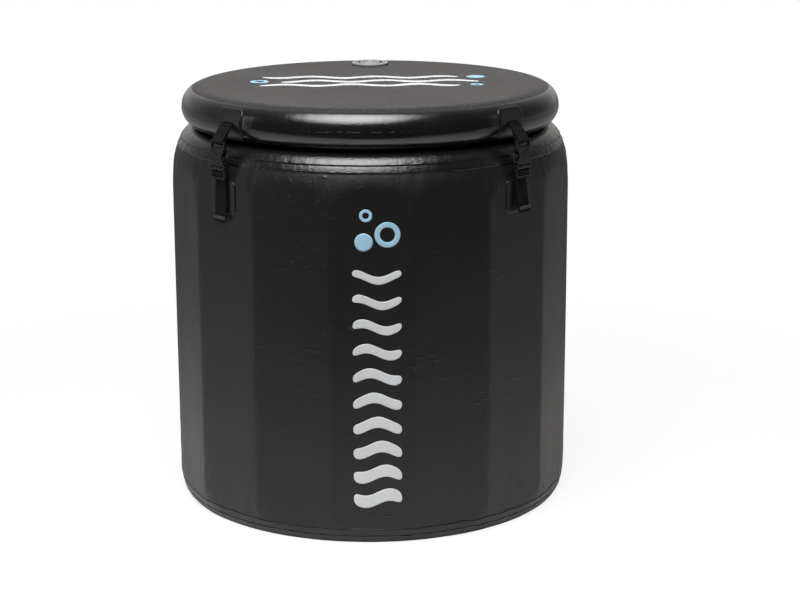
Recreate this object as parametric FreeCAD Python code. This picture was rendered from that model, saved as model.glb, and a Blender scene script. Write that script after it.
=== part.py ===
import FreeCAD, Part
import math
import os

from FreeCAD import Vector

# An inflatable cold plunge tub of drop-stitch panels with a buckled-on lid. Millimetres, +Z up.
# The origin is on the floor under the middle of the tub, and one flat panel of the wall faces -Y.

# Tub wall, a ring of flat panels
panel_count = 16
tub_across_flats = 786.0
tub_height = 750.0
wall_thickness = 90.0
crest_width = 8.0
shoulder_height = 118.0
corner_relief = 0.5
inner_relief = 3.0
foot_inset = 10.0
foot_height = 78.0
foot_sweep = 75.0
floor_thickness = 55.0

# Tapes, patches and webbing
tape_thickness = 0.9
glue_line = 0.3
rim_tape_drop = 33.0
rim_cover_drop = 20.0
base_tape_rise = 29.0
base_cover_rise = 15.0
floor_tape_leg = 24.0
patch_thickness = 1.2
patch_width = 70.0
patch_corner = 12.0
wall_patch_drop = 128.0
wall_patch_height = 65.0
lid_patch_drop = 34.0
lid_patch_rise = 31.0
webbing_width = 30.0
webbing_thickness = 1.5
webbing_seat = 0.25

# Lid
lid_inset = 16.0
lid_thickness = 80.0
lid_seat_gap = 0.3
lid_tape_top = 60.0
lid_tape_bottom = -66.0
lid_cover_top = 8.0
lid_cover_bottom = -58.0

# Side release buckles, one on each of four panels
strap_angles = {"front_left": 225.0, "front_right": 315.0, "rear_right": 45.0, "rear_left": 135.0}
tail_drops = {"front_left": 144.0, "front_right": 127.0, "rear_right": 138.0, "rear_left": 132.0}
buckle_stand_off = 10.0
buckle_width = 40.0
buckle_thickness = 11.0
buckle_edge = 2.0
buckle_corner = 5.0
socket_drop = 34.8
socket_body_height = 34.8
socket_slot_height = 7.2
socket_bar_radius = 2.7
socket_cavity_width = 34.0
socket_cavity_thickness = 7.2
socket_cavity_depth = 29.0
window_radius = 12.5
window_depth = 6.0
window_rise = 16.4
rest_top = 33.0
rest_tip = 17.5
rest_half_width = 12.5
rest_depth = 1.2
buckle_gap = 0.8
plug_block_height = 7.6
ladder_thickness = 7.0
ladder_bar_height = 4.2
ladder_slot_height = 4.4
slot_play = 2.0
tongue_width = 7.0
tongue_length = 25.0
prong_pivot_offset = 12.4
prong_pivot_depth = 1.1
prong_root_radius = 2.2
prong_root_play = 0.08
prong_base_gap = 0.7
prong_arm_inner = 10.2
prong_arm_outer = 14.6
prong_head_outer = 18.8
prong_catch_rise = 9.4
prong_head_slope = 2.4
prong_head_height = 4.7
prong_tip_offset = 13.5
prong_length = 24.0
prong_play = 0.4
anchor_drop = 116.0
anchor_height = 21.0
webbing_bend = 1.7
sewn_bend = 40.0
lid_webbing_top = 4.0
lid_webbing_overlap = 8.0

# Air valves, one in the lid and one in the rear panel of the wall
lid_valve_inset = 97.0
wall_valve_drop = 190.0
valve_gasket_radius = 40.0
valve_gasket_thickness = 1.0
valve_flange_radius = 38.5
valve_flange_thickness = 3.2
valve_flange_edge = 1.0
valve_groove_radius = 30.0
valve_groove_width = 1.2
valve_groove_depth = 1.6
valve_dish_radius = 26.8
valve_dish_depth = 2.2
valve_shank_radius = 24.4
valve_mouth_radius = 22.0
valve_throat_radius = 18.0
valve_ledge_depth = 7.0
valve_depth = 34.0
valve_seat_thickness = 4.0
valve_seat_radius = 13.0
valve_play = 0.3
valve_nut_radius = 33.0
valve_nut_height = 8.0
chamber_skin = 1.5
chamber_pocket_depth = 46.0
hub_radius = 7.0
hub_height = 3.0
hub_depth = 18.0
spoke_width = 3.0
spoke_count = 3
stem_radius = 3.0
stem_play = 0.08
stem_button_radius = 6.0
stem_button_height = 3.0
stem_button_depth = 2.0
stem_disc_radius = 15.5
stem_disc_height = 4.0
spring_mean_radius = 4.6
spring_wire_radius = 0.55
spring_turns = 4
cap_top = 5.0
cap_disc_height = 3.5
cap_skirt_depth = 4.5
cap_skirt_wall = 2.6
cap_well_radius = 16.5
cap_well_depth = 2.3
cap_bar_width = 8.0
cap_edge = 1.0
cap_seal_height = 1.9

# Drain tap, low in the rear panel
drain_height = 115.0
drain_flange_radius = 28.0
drain_flange_thickness = 5.0
drain_gasket_thickness = 2.0
drain_shank_radius = 16.5
drain_hole_play = 0.4
drain_nut_radius = 27.0
drain_nut_height = 11.0
drain_shank_past_nut = 4.0
drain_bore_radius = 8.0
drain_barrel_radius = 17.5
drain_barrel_length = 36.0
drain_ball_radius = 12.0
drain_ball_play = 0.3
drain_seat_thickness = 3.0
drain_spout_radius = 13.2
drain_spout_length = 16.0
drain_collar_radius = 17.5
drain_collar_length = 5.0
drain_stem_radius = 4.0
drain_stem_play = 0.06
drain_key_width = 4.0
drain_key_depth = 2.5
drain_bonnet_radius = 8.0
drain_bonnet_rise = 4.0
lever_length = 46.0
lever_width = 12.0
lever_thickness = 4.0
lever_hub_radius = 8.0
lever_hub_height = 7.0
lever_gap = 0.4

origin = Vector(0, 0, 0)
up = Vector(0, 0, 1)
outer_flat = tub_across_flats / 2
inner_flat = outer_flat - wall_thickness
lid_radius = outer_flat - lid_inset
shoulder_width = (wall_thickness - crest_width) / 2
tape_step = glue_line + tape_thickness
wall_top = tub_height - 2 * tape_step
shoulder_base = wall_top - shoulder_height
shoulder_outer = outer_flat - shoulder_width
shoulder_inner = inner_flat + shoulder_width
corner_stretch = 1 / math.cos(math.pi / panel_count)
round_radius = outer_flat * corner_stretch + corner_relief
inner_round = inner_flat - inner_relief
toe_radius = outer_flat - foot_inset
foot_width = (round_radius - toe_radius) / (1 - math.cos(math.radians(foot_sweep)))
foot_depth = foot_height / math.sin(math.radians(foot_sweep))
lid_bottom = tub_height + lid_seat_gap
buckle_reach = outer_flat + buckle_stand_off
socket_bottom = tub_height - socket_drop
wall_patch_bottom = tub_height - wall_patch_drop
anchor_bottom = tub_height - anchor_drop
lid_valve_offset = lid_radius - lid_valve_inset
wall_valve_height = tub_height - wall_valve_drop
lid_top = lid_bottom + lid_thickness
lid_middle = lid_bottom + lid_thickness / 2
lid_panel_radius = lid_radius - 2 * tape_step
lid_nose = lid_thickness / 2
lid_flat_radius = lid_panel_radius - lid_nose


def line(start, end):
    return Part.LineSegment(start, end).toShape()


def ellipse_point(centre, half_r, half_z, degrees):
    angle = math.radians(degrees)
    return centre + Vector(half_r * math.cos(angle), 0, half_z * math.sin(angle))


def ellipse_arc(centre, half_r, half_z, start, end):
    # An exact arc of under a half turn, as a rational curve of three poles.
    weight = math.cos(math.radians(end - start) / 2)
    middle = (start + end) / 2
    curve = Part.BezierCurve()
    curve.setPoles([
        ellipse_point(centre, half_r, half_z, start),
        ellipse_point(centre, half_r / weight, half_z / weight, middle),
        ellipse_point(centre, half_r, half_z, end),
    ])
    curve.setWeight(2, weight)
    return curve.toShape()


def round_arc(centre, radius, start, end):
    points = [ellipse_point(centre, radius, radius, angle) for angle in (start, (start + end) / 2, end)]
    return Part.Arc(*points).toShape()


def panel_prism(flat, bottom, top):
    # The many-sided column whose flat sides lie at the given distance from the axis.
    reach = flat * corner_stretch
    angles = [(i + 0.5) * 2 * math.pi / panel_count for i in range(panel_count)]
    corners = [Vector(reach * math.cos(a), reach * math.sin(a), bottom) for a in angles]
    return Part.Face(Part.makePolygon(corners + corners[:1])).extrude(up * (top - bottom))


def closed_band(curves):
    # The face between two runs of edges, joined by a straight line at each end.
    first, second = [[run[0].Vertexes[0].Point, run[-1].Vertexes[-1].Point] for run in curves]
    edges = curves[0] + curves[1] + [line(a, b) for a, b in zip(first, second)]
    return Part.Face(Part.Wire(Part.__sortEdges__(edges)))


def spun(face, sweep=360):
    face.rotate(origin, up, -sweep / 2)
    return face.revolve(origin, up, sweep)


def revolved(points):
    outline = Part.makePolygon([Vector(r, 0, z) for r, z in points + points[:1]])
    return Part.Face(outline).revolve(origin, up, 360)


def disc(radius, bottom, top):
    return Part.makeCylinder(radius, top - bottom, Vector(0, 0, bottom))


def tube(inner, outer, bottom, top):
    return disc(outer, bottom, top).cut(disc(inner, bottom - 1, top + 1))


def centred_box(size_x, size_y, size_z, centre_x, centre_y, bottom):
    corner = Vector(centre_x - size_x / 2, centre_y - size_y / 2, bottom)
    return Part.makeBox(size_x, size_y, size_z, corner)


def rounded_block(reach, width, bottom, top, corner):
    # A block through the whole strap zone with round corners, seen along the radius.
    block = centred_box(reach, width, top - bottom, reach / 2, 0, bottom)
    edges = [e for e in block.Edges if abs(e.tangentAt(0).x) > 0.9]
    return block.makeFillet(corner, edges)


def along_x(edges):
    return [e for e in edges if abs(e.tangentAt(e.FirstParameter).x) > 0.9]


# Tub panels and tapes

def rim_curve(lift, start):
    # Up the outer shoulder, over the crest and down the inner shoulder, lift off the panel.
    outer = Vector(shoulder_outer, 0, shoulder_base)
    inner = Vector(shoulder_inner, 0, shoulder_base)
    tall = shoulder_height + lift
    outer_wide = round_radius - shoulder_outer + lift
    inner_wide = shoulder_inner - inner_round + lift
    return [
        ellipse_arc(outer, outer_wide, tall, start, 90),
        line(outer + up * tall, inner + up * tall),
        ellipse_arc(inner, inner_wide, tall, 90, 180 - start),
    ]


def wall_form(lift):
    # Flat panels that fade into a round shoulder and a round foot: a many-sided column within a turned form.
    foot_centre = Vector(round_radius - foot_width + lift, 0, foot_height)
    inner_foot = Vector(inner_round - lift, 0, 0)
    toe = ellipse_point(foot_centre, foot_width, foot_depth, -foot_sweep)
    side = round_radius + lift
    outline = [
        line(inner_foot, toe),
        ellipse_arc(foot_centre, foot_width, foot_depth, -foot_sweep, 0),
        line(Vector(side, 0, foot_height), Vector(side, 0, shoulder_base)),
    ]
    outline += rim_curve(lift, 0)
    outline.append(line(Vector(inner_round - lift, 0, shoulder_base), inner_foot))
    turned_form = spun(Part.Face(Part.Wire(outline)))
    return turned_form.common(panel_prism(outer_flat + lift, 0, tub_height))


def make_wall():
    return wall_form(0).cut(panel_prism(inner_flat, -1, tub_height))


def rim_band(lift, drop):
    start = math.degrees(math.asin((shoulder_height - drop) / shoulder_height))
    return spun(closed_band([rim_curve(lift, start), rim_curve(lift + tape_thickness, start)]))


def base_band(lift, rise):
    # A tape round the foot, from the ground up.
    slab = tube(toe_radius - foot_inset, 2 * outer_flat, 0, rise)
    return wall_form(lift + tape_thickness).common(slab).cut(wall_form(lift))


def floor_band():
    # An angle tape in the corner between the floor and the wall.
    near = inner_flat - glue_line
    low = floor_thickness + glue_line
    high = low + floor_tape_leg
    angle = panel_prism(near, low, high).cut(panel_prism(near - floor_tape_leg, low - 1, high + 1))
    return angle.cut(panel_prism(near - tape_thickness, low + tape_thickness, high + 1))


def wall_patch():
    # A welded patch on one flat panel.
    top = wall_patch_bottom + wall_patch_height
    middle = outer_flat + glue_line + patch_thickness / 2
    plate = centred_box(patch_thickness, patch_width, wall_patch_height, middle, 0, wall_patch_bottom)
    return plate.common(rounded_block(2 * outer_flat, patch_width, wall_patch_bottom, top, patch_corner))


# Lid panel and tapes

def lid_band(lift, thickness, bottom, top, sweep=360):
    centre = Vector(lid_flat_radius, 0, lid_middle)
    lifts = (lift, lift + thickness)
    curves = [[round_arc(centre, lid_nose + each, bottom, top)] for each in lifts]
    return spun(closed_band(curves), sweep)


def make_lid_panel():
    centre = Vector(lid_flat_radius, 0, lid_middle)
    axis_bottom = Vector(0, 0, lid_bottom)
    axis_top = Vector(0, 0, lid_top)
    outline = Part.Wire([
        line(axis_bottom, Vector(lid_flat_radius, 0, lid_bottom)),
        round_arc(centre, lid_nose, -90, 90),
        line(Vector(lid_flat_radius, 0, lid_top), axis_top),
        line(axis_top, axis_bottom),
    ])
    return Part.Face(outline).revolve(origin, up, 360)


def lid_patch():
    lift = 2 * tape_step + glue_line
    sweep = math.degrees(2 * patch_width / lid_radius)
    band = lid_band(lift, patch_thickness, lid_tape_bottom, lid_tape_top, sweep)
    bottom = lid_middle - lid_patch_drop
    top = lid_middle + lid_patch_rise
    return band.common(rounded_block(2 * lid_radius, patch_width, bottom, top, patch_corner))


# Webbing

def bent_path(points, radii):
    # Straight runs joined by tangent arcs, one radius for each inner point.
    edges = []
    start = points[0]
    for before, here, after, radius in zip(points, points[1:], points[2:], radii):
        back = (before - here).normalize()
        ahead = (after - here).normalize()
        half = back.getAngle(ahead) / 2
        reach = radius / math.tan(half)
        middle = here + (back + ahead).normalize() * (radius / math.sin(half) - radius)
        arc = Part.Arc(here + back * reach, middle, here + ahead * reach)
        edges += [line(start, here + back * reach), arc.toShape()]
        start = here + ahead * reach
    edges.append(line(start, points[-1]))
    return edges


def webbing(edges):
    path = Part.Wire(edges)
    begin = edges[0].valueAt(edges[0].FirstParameter)
    along = edges[0].tangentAt(edges[0].FirstParameter)
    across = Vector(-along.z, 0, along.x) * (webbing_thickness / 2)
    side = Vector(0, webbing_width / 2, 0)
    corners = [begin - across - side, begin + across - side, begin + across + side, begin - across + side]
    profile = Part.makePolygon(corners + corners[:1])
    return path.makePipeShell([profile], True, False)


def lid_webbing_path():
    # Down from the lid patch, under the socket's bar and up again over itself.
    lift = 2 * tape_step + glue_line + patch_thickness + webbing_seat + webbing_thickness / 2
    centre = Vector(lid_flat_radius, 0, lid_middle)
    angle = math.degrees(math.asin(lid_webbing_top / lid_nose))
    begin = ellipse_point(centre, lid_nose + lift, lid_nose + lift, angle)
    bar = Vector(buckle_reach, 0, bar_height)
    wrap = socket_bar_radius + webbing_seat + webbing_thickness / 2
    back = tangent_point(begin, bar, wrap, -1)
    layer = (back - begin).normalize()
    outward = Vector(-layer.z, 0, layer.x)
    end = begin + layer * lid_webbing_overlap + outward * (webbing_thickness + webbing_seat)
    front = tangent_point(end, bar, wrap, 1)
    return [line(begin, back), Part.Arc(back, bar - up * wrap, front).toShape(), line(front, end)]


def tangent_point(point, centre, radius, side):
    # Where a line from the point touches the circle; side 1 is the outer side.
    apart = point - centre
    angle = math.atan2(apart.z, apart.x) - side * math.acos(radius / apart.Length)
    return centre + Vector(math.cos(angle), 0, math.sin(angle)) * radius


def tub_webbing_path(tail_end):
    # Up from the wall patch, through the ladder and down again as a loose tail.
    half = webbing_thickness / 2
    sewn = outer_flat + glue_line + patch_thickness + webbing_seat + half
    tail = buckle_reach - ladder_thickness / 2 - webbing_seat - half
    behind = tail - webbing_thickness - 2 * webbing_seat
    front = buckle_reach + ladder_thickness / 2 + webbing_seat + half
    upper = upper_slot + ladder_slot_height / 2
    lower = lower_slot + ladder_slot_height / 2
    hang = sewn + webbing_thickness + 2 * webbing_seat + half
    points = [(sewn, anchor_bottom), (sewn, anchor_bottom + anchor_height), (behind, plug_bottom),
              (behind, upper), (front, upper), (front, lower), (tail, lower), (hang, tail_end)]
    radii = [sewn_bend, sewn_bend] + [webbing_bend] * 4
    return bent_path([Vector(r, 0, z) for r, z in points], radii)


# Buckles, built on the panel that faces +X

socket_top_slot = socket_bottom + socket_body_height
bar_height = socket_top_slot + socket_slot_height + socket_bar_radius
plug_top = socket_bottom - buckle_gap
plug_block_bottom = plug_top - plug_block_height
upper_slot = plug_block_bottom - ladder_slot_height
lower_slot = upper_slot - ladder_bar_height - ladder_slot_height
plug_bottom = lower_slot - ladder_bar_height
pivot_height = plug_top - prong_pivot_depth


def softened(shape, edge):
    return shape.makeFillet(edge, shape.Edges)


def make_socket():
    top = bar_height + socket_bar_radius
    body = centred_box(buckle_thickness, buckle_width, socket_body_height, buckle_reach, 0, socket_bottom)
    body = softened(body, buckle_edge)
    cheek_width = (buckle_width - webbing_width - slot_play) / 2
    cheek_bottom = socket_top_slot - buckle_corner
    for side in (-1, 1):
        offset = side * (buckle_width - cheek_width) / 2
        cheek = centred_box(2 * socket_bar_radius, cheek_width, top - cheek_bottom, buckle_reach, offset,
                            cheek_bottom)
        body = body.fuse(cheek)
    bar_start = Vector(buckle_reach, -buckle_width / 2 + cheek_width / 2, bar_height)
    bar = Part.makeCylinder(socket_bar_radius, buckle_width - cheek_width, bar_start, Vector(0, 1, 0))
    body = body.fuse(bar)
    body = body.cut(centred_box(socket_cavity_thickness, socket_cavity_width, socket_cavity_depth,
                                buckle_reach, 0, socket_bottom - 0.01))
    for side in (-1, 1):
        centre = side * (buckle_width / 2 + window_radius - window_depth)
        start = Vector(buckle_reach - buckle_thickness, centre, socket_bottom + window_rise)
        body = body.cut(Part.makeCylinder(window_radius, 2 * buckle_thickness, start, Vector(1, 0, 0)))
    # A shallow V in the outer face, as a thumb rest.
    face = buckle_reach + buckle_thickness / 2 - rest_depth
    corners = [Vector(face, -rest_half_width, socket_bottom + rest_top),
               Vector(face, rest_half_width, socket_bottom + rest_top),
               Vector(face, 0, socket_bottom + rest_tip)]
    recess = Part.Face(Part.makePolygon(corners + corners[:1])).extrude(Vector(buckle_thickness, 0, 0))
    return body.cut(recess).removeSplitter()


def make_plug():
    block = softened(centred_box(buckle_thickness, buckle_width, plug_block_height, buckle_reach, 0,
                                 plug_block_bottom), buckle_edge)
    ladder = centred_box(ladder_thickness, buckle_width, plug_block_bottom + buckle_edge - plug_bottom,
                         buckle_reach, 0, plug_bottom)
    corners = [e for e in along_x(ladder.Edges) if e.CenterOfMass.z < plug_bottom + 1]
    ladder = ladder.makeFillet(buckle_corner, corners)
    for bottom in (lower_slot, upper_slot):
        ladder = ladder.cut(centred_box(2 * buckle_thickness, webbing_width + slot_play, ladder_slot_height,
                                        buckle_reach, 0, bottom))
    thickness = socket_cavity_thickness - 2 * prong_play
    tongue = centred_box(thickness, tongue_width, tongue_length + buckle_edge, buckle_reach, 0,
                         plug_top - buckle_edge)
    plug = block.fuse(ladder).fuse(tongue)
    notch = prong_root_radius + prong_root_play
    for side in (-1, 1):
        start = Vector(buckle_reach - buckle_thickness, side * prong_pivot_offset, pivot_height)
        plug = plug.cut(Part.makeCylinder(notch, 2 * buckle_thickness, start, Vector(1, 0, 0)))
    return plug.removeSplitter()


def make_prong(side):
    thickness = socket_cavity_thickness - 2 * prong_play
    back = buckle_reach - thickness / 2
    catch = plug_top + prong_catch_rise
    head = catch + prong_head_slope
    tip = plug_top + prong_length
    foot = plug_top + prong_base_gap
    outline = [(prong_arm_inner, foot), (prong_arm_outer, foot), (prong_arm_outer, catch),
               (prong_head_outer, head), (prong_head_outer, head + prong_head_height),
               (prong_tip_offset, tip), (prong_arm_inner, tip)]
    points = [Vector(back, side * across, z) for across, z in outline + outline[:1]]
    arm = Part.Face(Part.makePolygon(points)).extrude(Vector(thickness, 0, 0))
    pivot = Vector(back, side * prong_pivot_offset, pivot_height)
    root = Part.makeCylinder(prong_root_radius, thickness, pivot, Vector(1, 0, 0))
    return arm.fuse(root).removeSplitter()


# Air valve, built with its axis on +Z and the panel's face at z = 0

def make_valve():
    flange_bottom = valve_gasket_thickness
    flange_top = flange_bottom + valve_flange_thickness
    groove_in = valve_groove_radius - valve_groove_width / 2
    groove_out = valve_groove_radius + valve_groove_width / 2
    body = revolved([
        (valve_shank_radius, flange_bottom), (valve_flange_radius, flange_bottom),
        (valve_flange_radius, flange_top - valve_flange_edge),
        (valve_flange_radius - valve_flange_edge, flange_top),
        (groove_out, flange_top), (groove_out, flange_top - valve_groove_depth),
        (groove_in, flange_top - valve_groove_depth), (groove_in, flange_top),
        (valve_dish_radius, flange_top), (valve_dish_radius, flange_top - valve_dish_depth),
        (valve_mouth_radius, flange_top - valve_dish_depth), (valve_mouth_radius, -valve_ledge_depth),
        (valve_throat_radius, -valve_ledge_depth), (valve_throat_radius, valve_seat_thickness - valve_depth),
        (valve_seat_radius, valve_seat_thickness - valve_depth), (valve_seat_radius, -valve_depth),
        (valve_shank_radius, -valve_depth),
    ])
    hub_top = hub_height - hub_depth
    for spoke in range(spoke_count):
        reach = valve_throat_radius + valve_play
        bar = centred_box(reach, spoke_width, hub_height, reach / 2, 0, -hub_depth)
        bar.rotate(origin, up, spoke * 360 / spoke_count)
        body = body.fuse(bar)
    body = body.fuse(disc(hub_radius, -hub_depth, hub_top))
    body = body.cut(disc(stem_radius + stem_play, -hub_depth - 1, hub_top + 1)).removeSplitter()

    gasket = tube(valve_shank_radius + valve_play, valve_gasket_radius, 0, valve_gasket_thickness)
    nut_top = -chamber_skin - valve_play
    nut = tube(valve_shank_radius + valve_play, valve_nut_radius, nut_top - valve_nut_height, nut_top)

    button_top = -stem_button_depth
    disc_top = -valve_depth - valve_play
    stem = disc(stem_radius, disc_top, button_top)
    stem = stem.fuse(disc(stem_button_radius, button_top - stem_button_height, button_top))
    stem = stem.fuse(disc(stem_disc_radius, disc_top - stem_disc_height, disc_top)).removeSplitter()

    spring = make_spring(hub_top, button_top - stem_button_height)

    skirt_outer = valve_mouth_radius - valve_play
    skirt_inner = skirt_outer - cap_skirt_wall
    disc_bottom = cap_top - cap_disc_height
    cap = revolved([
        (0, disc_bottom), (skirt_inner, disc_bottom), (skirt_inner, -cap_skirt_depth),
        (skirt_outer, -cap_skirt_depth), (skirt_outer, cap_top - cap_edge), (skirt_outer - cap_edge, cap_top),
        (0, cap_top),
    ])
    well = disc(cap_well_radius, cap_top - cap_well_depth, cap_top + 1)
    bar = centred_box(cap_bar_width, 4 * cap_well_radius, cap_disc_height, 0, 0, cap_top - cap_well_depth)
    cap = cap.cut(well.cut(bar))
    seal_top = -cap_skirt_depth - valve_play
    seal = tube(skirt_inner, skirt_outer, seal_top - cap_seal_height, seal_top)
    return {"body": body, "gasket": gasket, "nut": nut, "stem": stem, "spring": spring,
            "cap": cap, "cap_seal": seal}


def make_spring(bottom, top):
    # Quarter turns through points of the helix.
    low = bottom + spring_wire_radius + valve_play
    rise = top - valve_play - spring_wire_radius - low
    steps = 8 * spring_turns

    def helix(step):
        angle = step * math.pi / 4
        flat = Vector(math.cos(angle), math.sin(angle), 0) * spring_mean_radius
        return flat + up * (low + rise * step / steps)

    arcs = [Part.Arc(helix(i), helix(i + 1), helix(i + 2)).toShape() for i in range(0, steps, 2)]
    start = arcs[0].valueAt(arcs[0].FirstParameter)
    along = arcs[0].tangentAt(arcs[0].FirstParameter)
    section = Part.Wire(Part.makeCircle(spring_wire_radius, start, along))
    return Part.Wire(arcs).makePipeShell([section], True, False)


def valve_pocket():
    bore = disc(valve_shank_radius + valve_play, -chamber_pocket_depth, 1)
    return bore.fuse(disc(valve_nut_radius + valve_play, -chamber_pocket_depth, -chamber_skin))


def on_lid(shape):
    shape = shape.copy()
    shape.translate(Vector(0, lid_valve_offset, lid_top))
    return shape


def on_rear(shape, height):
    shape = shape.copy()
    shape.rotate(origin, Vector(1, 0, 0), -90)
    shape.translate(Vector(0, outer_flat, height))
    return shape


# Drain tap, built with its axis on +Z and the panel's face at z = 0

def make_drain():
    flange_bottom = drain_gasket_thickness
    flange_top = flange_bottom + drain_flange_thickness
    barrel_top = flange_top + drain_barrel_length
    inside = wall_thickness + drain_nut_height + drain_shank_past_nut
    ball_centre = flange_top + drain_barrel_length / 2
    ball_room = drain_ball_radius + drain_ball_play
    seat_half = math.sqrt(drain_ball_radius ** 2 - drain_bore_radius ** 2)
    room_bottom = ball_centre - seat_half - drain_seat_thickness
    room_top = ball_centre + seat_half + drain_seat_thickness
    body = disc(drain_flange_radius, flange_bottom, flange_top)
    body = body.fuse(disc(drain_barrel_radius, flange_top, barrel_top))
    body = body.fuse(disc(drain_shank_radius, -inside, flange_bottom))
    bonnet_top = drain_barrel_radius + drain_bonnet_rise
    middle = Vector(0, 0, ball_centre)
    toward_top = Vector(0, -1, 0)
    body = body.fuse(Part.makeCylinder(drain_bonnet_radius, bonnet_top, middle, toward_top))
    body = body.cut(disc(drain_bore_radius, -inside - 1, barrel_top + 1))
    body = body.cut(disc(ball_room, room_bottom, barrel_top + 1))
    stem_hole = drain_stem_radius + drain_stem_play
    body = body.cut(Part.makeCylinder(stem_hole, bonnet_top + 1, middle, toward_top)).removeSplitter()

    collar_top = barrel_top + drain_collar_length
    spout = disc(drain_collar_radius, barrel_top, collar_top)
    spout = spout.fuse(disc(drain_spout_radius, collar_top, collar_top + drain_spout_length))
    spout = spout.fuse(disc(ball_room - drain_ball_play, room_top, barrel_top))
    spout = spout.cut(disc(drain_bore_radius, room_top - 1, collar_top + drain_spout_length + 1))
    spout = spout.removeSplitter()

    ball = Part.makeSphere(drain_ball_radius, middle)
    across = Part.makeCylinder(drain_bore_radius, 4 * drain_ball_radius,
                               Vector(-2 * drain_ball_radius, 0, ball_centre), Vector(1, 0, 0))
    key_room = drain_key_width + 2 * drain_stem_play
    slot_start = Vector(-drain_ball_radius, -drain_ball_radius, ball_centre - key_room / 2)
    slot = Part.makeBox(2 * drain_ball_radius, drain_key_depth, key_room, slot_start)
    ball = ball.cut(across).cut(slot)

    clear_ball = Part.makeSphere(drain_ball_radius + drain_stem_play, middle)
    seats = []
    for bottom, top in ((room_bottom, ball_centre), (ball_centre, room_top)):
        ring = tube(drain_bore_radius, ball_room - drain_ball_play, bottom, top).cut(clear_ball)
        keep = bottom if bottom == room_bottom else room_top - drain_seat_thickness
        seats.append(ring.common(disc(ball_room, keep, keep + drain_seat_thickness)))

    lever_bottom = bonnet_top + lever_gap
    key_bottom = drain_ball_radius - drain_key_depth + drain_stem_play
    stem = Part.makeCylinder(drain_stem_radius, lever_bottom + 1 - drain_ball_radius,
                             middle + toward_top * drain_ball_radius, toward_top)
    key_box = Part.makeBox(2 * drain_stem_radius, drain_ball_radius - key_bottom + 1, drain_key_width,
                           Vector(-drain_stem_radius, -drain_ball_radius - 1,
                                  ball_centre - drain_key_width / 2))
    key = key_box.common(Part.makeCylinder(drain_stem_radius, 2 * drain_ball_radius, middle, toward_top))
    hub = Part.makeCylinder(lever_hub_radius, lever_hub_height, middle + toward_top * lever_bottom,
                            toward_top)
    handle = Part.makeBox(lever_length, lever_thickness, lever_width,
                          Vector(0, -lever_bottom - lever_hub_height, ball_centre - lever_width / 2))
    upright = [e for e in handle.Edges if abs(e.tangentAt(0).y) > 0.9 and e.CenterOfMass.x > 1]
    handle = handle.makeFillet(lever_width / 2 - 0.5, upright)
    lever = stem.fuse(key).fuse(hub).fuse(handle).removeSplitter()

    hole = drain_shank_radius + drain_hole_play
    gasket = tube(hole, drain_flange_radius, 0, drain_gasket_thickness)
    nut = tube(drain_shank_radius + drain_stem_play, drain_nut_radius,
               -wall_thickness - glue_line - drain_nut_height, -wall_thickness - glue_line)
    return {"body": body, "spout": spout, "ball": ball, "seats": Part.makeCompound(seats),
            "lever": lever, "gasket": gasket, "nut": nut}


def drain_hole():
    return disc(drain_shank_radius + drain_hole_play, -2 * wall_thickness, 1)


def turned(shape, degrees):
    shape = shape.copy()
    shape.rotate(origin, up, degrees)
    return shape


def main():
    os.makedirs("parts", exist_ok=True)
    nodes = {}

    wall = make_wall()
    wall = wall.cut(on_rear(valve_pocket(), wall_valve_height))
    nodes["tub_wall"] = wall.cut(on_rear(drain_hole(), drain_height))
    nodes["tub_floor"] = panel_prism(inner_flat - glue_line, 0, floor_thickness)
    nodes["floor_seam_tape"] = floor_band()
    nodes["rim_tape"] = rim_band(glue_line, rim_tape_drop)
    nodes["rim_cover_tape"] = rim_band(glue_line + tape_step, rim_cover_drop)
    nodes["base_tape"] = base_band(glue_line, base_tape_rise)
    nodes["base_cover_tape"] = base_band(glue_line + tape_step, base_cover_rise)

    nodes["lid_panel"] = make_lid_panel().cut(on_lid(valve_pocket()))
    nodes["lid_rim_tape"] = lid_band(glue_line, tape_thickness, lid_tape_bottom, lid_tape_top)
    nodes["lid_cover_tape"] = lid_band(glue_line + tape_step, tape_thickness, lid_cover_bottom, lid_cover_top)

    angles = strap_angles.values()
    nodes["wall_strap_patches"] = Part.makeCompound([turned(wall_patch(), a) for a in angles])
    nodes["lid_strap_patches"] = Part.makeCompound([turned(lid_patch(), a) for a in angles])
    socket = make_socket()
    plug = make_plug()
    prongs = {"left": make_prong(-1), "right": make_prong(1)}
    lid_strap = webbing(lid_webbing_path())
    for place, angle in strap_angles.items():
        nodes[f"{place}_lid_webbing"] = turned(lid_strap, angle)
        nodes[f"{place}_buckle_socket"] = turned(socket, angle)
        nodes[f"{place}_buckle_plug"] = turned(plug, angle)
        for hand, prong in prongs.items():
            nodes[f"{place}_prong_{hand}"] = turned(prong, angle)
        tub_strap = webbing(tub_webbing_path(tub_height - tail_drops[place]))
        nodes[f"{place}_tub_webbing"] = turned(tub_strap, angle)

    for name, piece in make_valve().items():
        nodes[f"lid_valve_{name}"] = on_lid(piece)
        nodes[f"wall_valve_{name}"] = on_rear(piece, wall_valve_height)
    for name, piece in make_drain().items():
        nodes[f"drain_{name}"] = on_rear(piece, drain_height)

    for name, shape in nodes.items():
        solids = len(shape.Solids)
        print(f"{name}: {solids} solid(s), valid {shape.isValid()}, {shape.Volume / 1000:.1f} cm3")
        shape.exportStep(f"parts/{name}.step")


main()
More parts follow.
